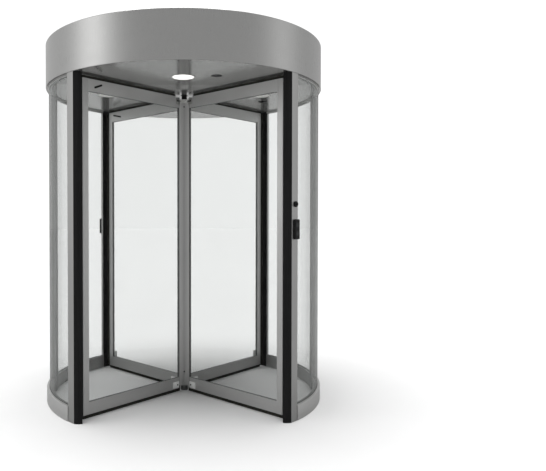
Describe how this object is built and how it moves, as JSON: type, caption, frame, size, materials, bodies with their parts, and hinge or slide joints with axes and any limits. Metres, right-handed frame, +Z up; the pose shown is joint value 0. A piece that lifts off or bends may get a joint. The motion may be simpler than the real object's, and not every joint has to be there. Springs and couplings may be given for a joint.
{
  "type": "revolving door",
  "caption": "Round glass revolving door with a flat drum canopy, curved side walls and a free-turning rotor of crossed glazed wings.",
  "frame": {"origin": "on the floor at the turning axis, the centre of the drum's underside", "axes": "+Z up along the turning axis; the two entrances face -Y and +Y; the facade joins the middle posts at -X and +X"},
  "size_m": [2, 2, 2.502],
  "materials": {
    "fascia_steel": "satin brushed, vertical grain",
    "cover_steel": "satin",
    "soffit_metal": "gloss brushed",
    "light_bezel": "satin",
    "light_lens": "opal diffuser",
    "sensor_plastic": "matte",
    "frame_alu": "satin anodised",
    "wing_alu": "satin anodised",
    "wall_glass": "clear curved laminated glass",
    "wing_glass": "clear laminated glass",
    "black_rubber": "matte black",
    "seal_brush": "black brush pile",
    "switch_steel": "satin",
    "switch_plastic": "black",
    "hub_steel": "dark satin",
    "bracket_alu": "satin"
  },
  "bodies": {
    "drum": {"canopy_fascia_front": "fascia_steel", "canopy_fascia_back": "fascia_steel", "canopy_top_cover": "cover_steel", "soffit_front": "soffit_metal", "soffit_center": "soffit_metal", "soffit_back": "soffit_metal", "downlight_bezels": "light_bezel", "downlight_lenses": "light_lens", "ceiling_sensors": "sensor_plastic", "wall_top_channels": "frame_alu", "glass_left_front": "wall_glass", "glass_left_back": "wall_glass", "glass_right_front": "wall_glass", "glass_right_back": "wall_glass", "plinth_ring_left": "frame_alu", "plinth_ring_right": "frame_alu", "end_posts_front": "frame_alu", "end_posts_back": "frame_alu", "safety_edges_front": "black_rubber", "safety_edges_back": "black_rubber", "mid_post_left": "frame_alu", "mid_post_right": "frame_alu", "key_switches": "switch_steel", "push_button_boxes": "switch_plastic", "floor_bearing": "hub_steel", "top_bearing": "hub_steel"},
    "rotor": {"wing_1_stiles": "wing_alu", "wing_1_rails": "wing_alu", "wing_1_glass": "wing_glass", "wing_1_seals": "seal_brush", "wing_2_stiles": "wing_alu", "wing_2_rails": "wing_alu", "wing_2_glass": "wing_glass", "wing_2_seals": "seal_brush", "wing_3_stiles": "wing_alu", "wing_3_rails": "wing_alu", "wing_3_glass": "wing_glass", "wing_3_seals": "seal_brush", "wing_4_stiles": "wing_alu", "wing_4_rails": "wing_alu", "wing_4_glass": "wing_glass", "wing_4_seals": "seal_brush", "hub_core": "hub_steel", "hub_brackets_top": "bracket_alu", "hub_brackets_bottom": "bracket_alu", "floor_bolts": "bracket_alu"}
  },
  "joints": [
    {"name": "rotor_spin", "type": "hinge", "parent": "drum", "child": "rotor", "pos_m": [0, 0, 0], "axis": [0, 0, 1], "continuous": true}
  ]
}
